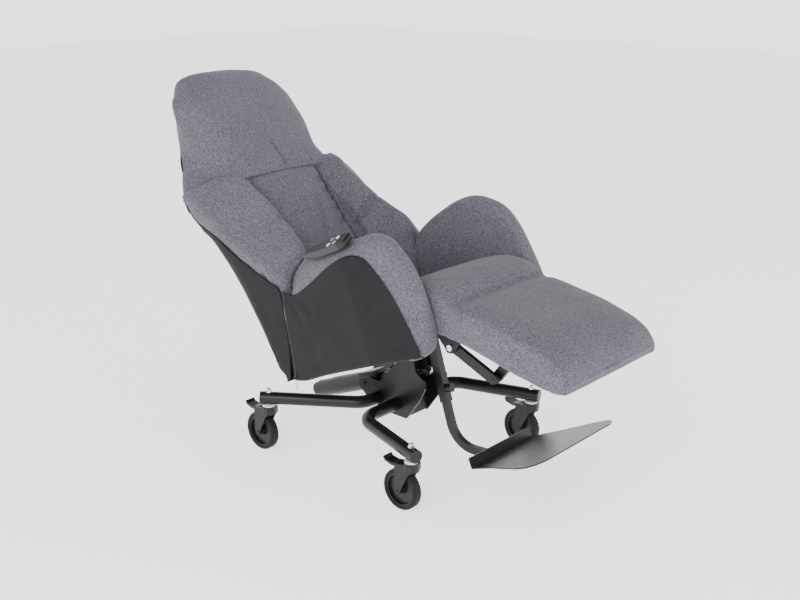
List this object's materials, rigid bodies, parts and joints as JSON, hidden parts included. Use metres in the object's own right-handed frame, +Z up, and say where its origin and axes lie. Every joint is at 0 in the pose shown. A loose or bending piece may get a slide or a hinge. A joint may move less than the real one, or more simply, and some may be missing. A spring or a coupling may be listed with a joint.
{
  "type": "patient recliner chair",
  "caption": "Tilting padded shell chair for patients on a braked caster base, with raised legrest, telescopic foot plate and handset.",
  "frame": {"origin": "on the floor, below the middle of the whole chair's box at rest", "axes": "+X to the front of the chair, +Y to the occupant's left, +Z up"},
  "size_m": [1.6142, 0.6936, 1.1667],
  "materials": {
    "black_steel": "satin",
    "bright_zinc": "satin",
    "rod_steel": "polished",
    "white_nylon": "satin",
    "black_plastic": "satin",
    "black_tread": "matte",
    "grey_fabric": "woven, matte",
    "dark_vinyl": "satin",
    "zip_tape": "matte",
    "plywood": "raw",
    "cable_black": "matte",
    "button_white": "satin",
    "button_green": "satin",
    "button_grey": "satin"
  },
  "bodies": {
    "base": {"front_base_tube": "black_steel", "rear_base_tube": "black_steel", "tube_end_caps": "black_plastic", "caster_bolts": "bright_zinc", "caster_washers": "white_nylon", "tower": "black_steel", "tilt_pin": "bright_zinc"},
    "shell": {"seat_frame": "black_steel", "seat_board": "plywood", "seat_cushion": "grey_fabric", "back_frame": "black_steel", "back_board": "plywood", "back_cushion": "grey_fabric", "head_cushion": "grey_fabric", "wing_cushion_right": "grey_fabric", "wing_cushion_left": "grey_fabric", "arm_cushion_right": "grey_fabric", "arm_cushion_left": "grey_fabric", "arm_boards": "plywood", "side_cover_right": "dark_vinyl", "side_cover_left": "dark_vinyl", "back_cover": "dark_vinyl", "zip_tapes": "zip_tape", "control_box": "black_plastic", "shell_pins": "bright_zinc", "foot_sleeve": "black_steel", "handset_case": "black_plastic", "handset_cable": "cable_black", "cable_gland": "cable_black"},
    "legrest": {"legrest_frame": "black_steel", "legrest_pad": "grey_fabric"},
    "cranks": {"crank_links": "black_steel"},
    "pushers": {"push_links": "black_steel"},
    "foot_support": {"foot_arm": "black_steel", "foot_plate": "black_steel"},
    "clamp_knob": {"foot_knob": "black_plastic"},
    "actuator": {"actuator_body": "black_plastic"},
    "rod": {"actuator_rod": "rod_steel"},
    "zip_pull_right": {"zip_pull_right": "bright_zinc"},
    "zip_pull_left": {"zip_pull_left": "bright_zinc"},
    "swivel_front_right": {"caster_front_right_fork": "black_steel"},
    "wheel_front_right": {"caster_front_right_hub": "black_plastic", "caster_front_right_tread": "black_tread"},
    "pedal_front_right": {"caster_front_right_pedal": "black_plastic"},
    "swivel_front_left": {"caster_front_left_fork": "black_steel"},
    "wheel_front_left": {"caster_front_left_hub": "black_plastic", "caster_front_left_tread": "black_tread"},
    "pedal_front_left": {"caster_front_left_pedal": "black_plastic"},
    "swivel_rear_right": {"caster_rear_right_fork": "black_steel"},
    "wheel_rear_right": {"caster_rear_right_hub": "black_plastic", "caster_rear_right_tread": "black_tread"},
    "pedal_rear_right": {"caster_rear_right_pedal": "black_plastic"},
    "swivel_rear_left": {"caster_rear_left_fork": "black_steel"},
    "wheel_rear_left": {"caster_rear_left_hub": "black_plastic", "caster_rear_left_tread": "black_tread"},
    "pedal_rear_left": {"caster_rear_left_pedal": "black_plastic"},
    "button_1": {"handset_button_1": "button_white"},
    "button_2": {"handset_button_2": "button_green"},
    "button_3": {"handset_button_3": "button_white"},
    "button_4": {"handset_button_4": "button_grey"}
  },
  "joints": [
    {"name": "tilt_hinge", "type": "hinge", "parent": "base", "child": "shell", "pos_m": [0.123, 0, 0.415], "axis": [0, -1, 0], "range_deg": [-20, 12]},
    {"name": "actuator_swing", "type": "hinge", "parent": "base", "child": "actuator", "pos_m": [-0.067, 0, 0.212], "axis": [0, -1, 0], "range_deg": [-1.2, 1.9]},
    {"name": "rod_slide", "type": "slide", "parent": "actuator", "child": "rod", "axis": [0.9267, 0, 0.3759], "range_m": [-0.041, 0.025]},
    {"name": "legrest_hinge", "type": "hinge", "parent": "shell", "child": "legrest", "pos_m": [0.417, 0, 0.535], "axis": [0, 1, 0], "range_deg": [-12, 48]},
    {"name": "crank_swing", "type": "hinge", "parent": "shell", "child": "cranks", "pos_m": [0.3671, 0, 0.46778], "axis": [0, 1, 0], "range_deg": [-12, 48]},
    {"name": "push_link_swing", "type": "hinge", "parent": "legrest", "child": "pushers", "pos_m": [0.55898, 0, 0.476], "axis": [0, 1, 0], "range_deg": [-48, 12]},
    {"name": "foot_slide", "type": "slide", "parent": "shell", "child": "foot_support", "axis": [-0.3074, 0, 0.9516], "range_m": [-0.02, 0]},
    {"name": "clamp_knob_turn", "type": "hinge", "parent": "shell", "child": "clamp_knob", "pos_m": [0.21707, 0, 0.25725], "axis": [0.9516, 0, 0.3074], "range_deg": [-180, 180]},
    {"name": "swivel_front_right", "type": "hinge", "parent": "base", "child": "swivel_front_right", "pos_m": [0.342, -0.289, 0.1], "axis": [0, 0, 1], "continuous": true},
    {"name": "wheel_front_right", "type": "hinge", "parent": "swivel_front_right", "child": "wheel_front_right", "pos_m": [0.3085, -0.289, 0.0625], "axis": [0, 1, 0], "continuous": true},
    {"name": "pedal_front_right", "type": "hinge", "parent": "swivel_front_right", "child": "pedal_front_right", "pos_m": [0.308, -0.289, 0.139], "axis": [0, -1, 0], "range_deg": [0, 8]},
    {"name": "swivel_front_left", "type": "hinge", "parent": "base", "child": "swivel_front_left", "pos_m": [0.342, 0.289, 0.1], "axis": [0, 0, 1], "continuous": true},
    {"name": "wheel_front_left", "type": "hinge", "parent": "swivel_front_left", "child": "wheel_front_left", "pos_m": [0.3085, 0.289, 0.0625], "axis": [0, 1, 0], "continuous": true},
    {"name": "pedal_front_left", "type": "hinge", "parent": "swivel_front_left", "child": "pedal_front_left", "pos_m": [0.308, 0.289, 0.139], "axis": [0, -1, 0], "range_deg": [0, 8]},
    {"name": "swivel_rear_right", "type": "hinge", "parent": "base", "child": "swivel_rear_right", "pos_m": [-0.256, -0.289, 0.1], "axis": [0, 0, 1], "continuous": true},
    {"name": "wheel_rear_right", "type": "hinge", "parent": "swivel_rear_right", "child": "wheel_rear_right", "pos_m": [-0.2895, -0.289, 0.0625], "axis": [0, 1, 0], "continuous": true},
    {"name": "pedal_rear_right", "type": "hinge", "parent": "swivel_rear_right", "child": "pedal_rear_right", "pos_m": [-0.29, -0.289, 0.139], "axis": [0, -1, 0], "range_deg": [0, 8]},
    {"name": "swivel_rear_left", "type": "hinge", "parent": "base", "child": "swivel_rear_left", "pos_m": [-0.256, 0.289, 0.1], "axis": [0, 0, 1], "continuous": true},
    {"name": "wheel_rear_left", "type": "hinge", "parent": "swivel_rear_left", "child": "wheel_rear_left", "pos_m": [-0.2895, 0.289, 0.0625], "axis": [0, 1, 0], "continuous": true},
    {"name": "pedal_rear_left", "type": "hinge", "parent": "swivel_rear_left", "child": "pedal_rear_left", "pos_m": [-0.29, 0.289, 0.139], "axis": [0, -1, 0], "range_deg": [0, 8]},
    {"name": "button_1_press", "type": "slide", "parent": "shell", "child": "button_1", "axis": [0.3731, 0.4695, -0.8002], "range_m": [0, 0.001], "stiffness_N_per_m": 800},
    {"name": "button_2_press", "type": "slide", "parent": "shell", "child": "button_2", "axis": [0.3731, 0.4695, -0.8002], "range_m": [0, 0.001], "stiffness_N_per_m": 800},
    {"name": "button_3_press", "type": "slide", "parent": "shell", "child": "button_3", "axis": [0.3731, 0.4695, -0.8002], "range_m": [0, 0.001], "stiffness_N_per_m": 800},
    {"name": "button_4_press", "type": "slide", "parent": "shell", "child": "button_4", "axis": [0.3731, 0.4695, -0.8002], "range_m": [0, 0.001], "stiffness_N_per_m": 800},
    {"name": "zip_pull_right_swing", "type": "hinge", "parent": "shell", "child": "zip_pull_right", "pos_m": [-0.06647, 0, 0.30585], "axis": [0, 1, 0], "range_deg": [-60, 60]},
    {"name": "zip_pull_left_swing", "type": "hinge", "parent": "shell", "child": "zip_pull_left", "pos_m": [-0.06647, 0, 0.30585], "axis": [0, 1, 0], "range_deg": [-60, 60]}
  ],
  "couplings": [
    {"joint": "actuator_swing", "follows": "tilt_hinge", "ratio": -0.09226},
    {"joint": "rod_slide", "follows": "tilt_hinge", "m_per_rad": 0.1131},
    {"joint": "crank_swing", "follows": "legrest_hinge", "ratio": 1},
    {"joint": "push_link_swing", "follows": "legrest_hinge", "ratio": -1}
  ]
}
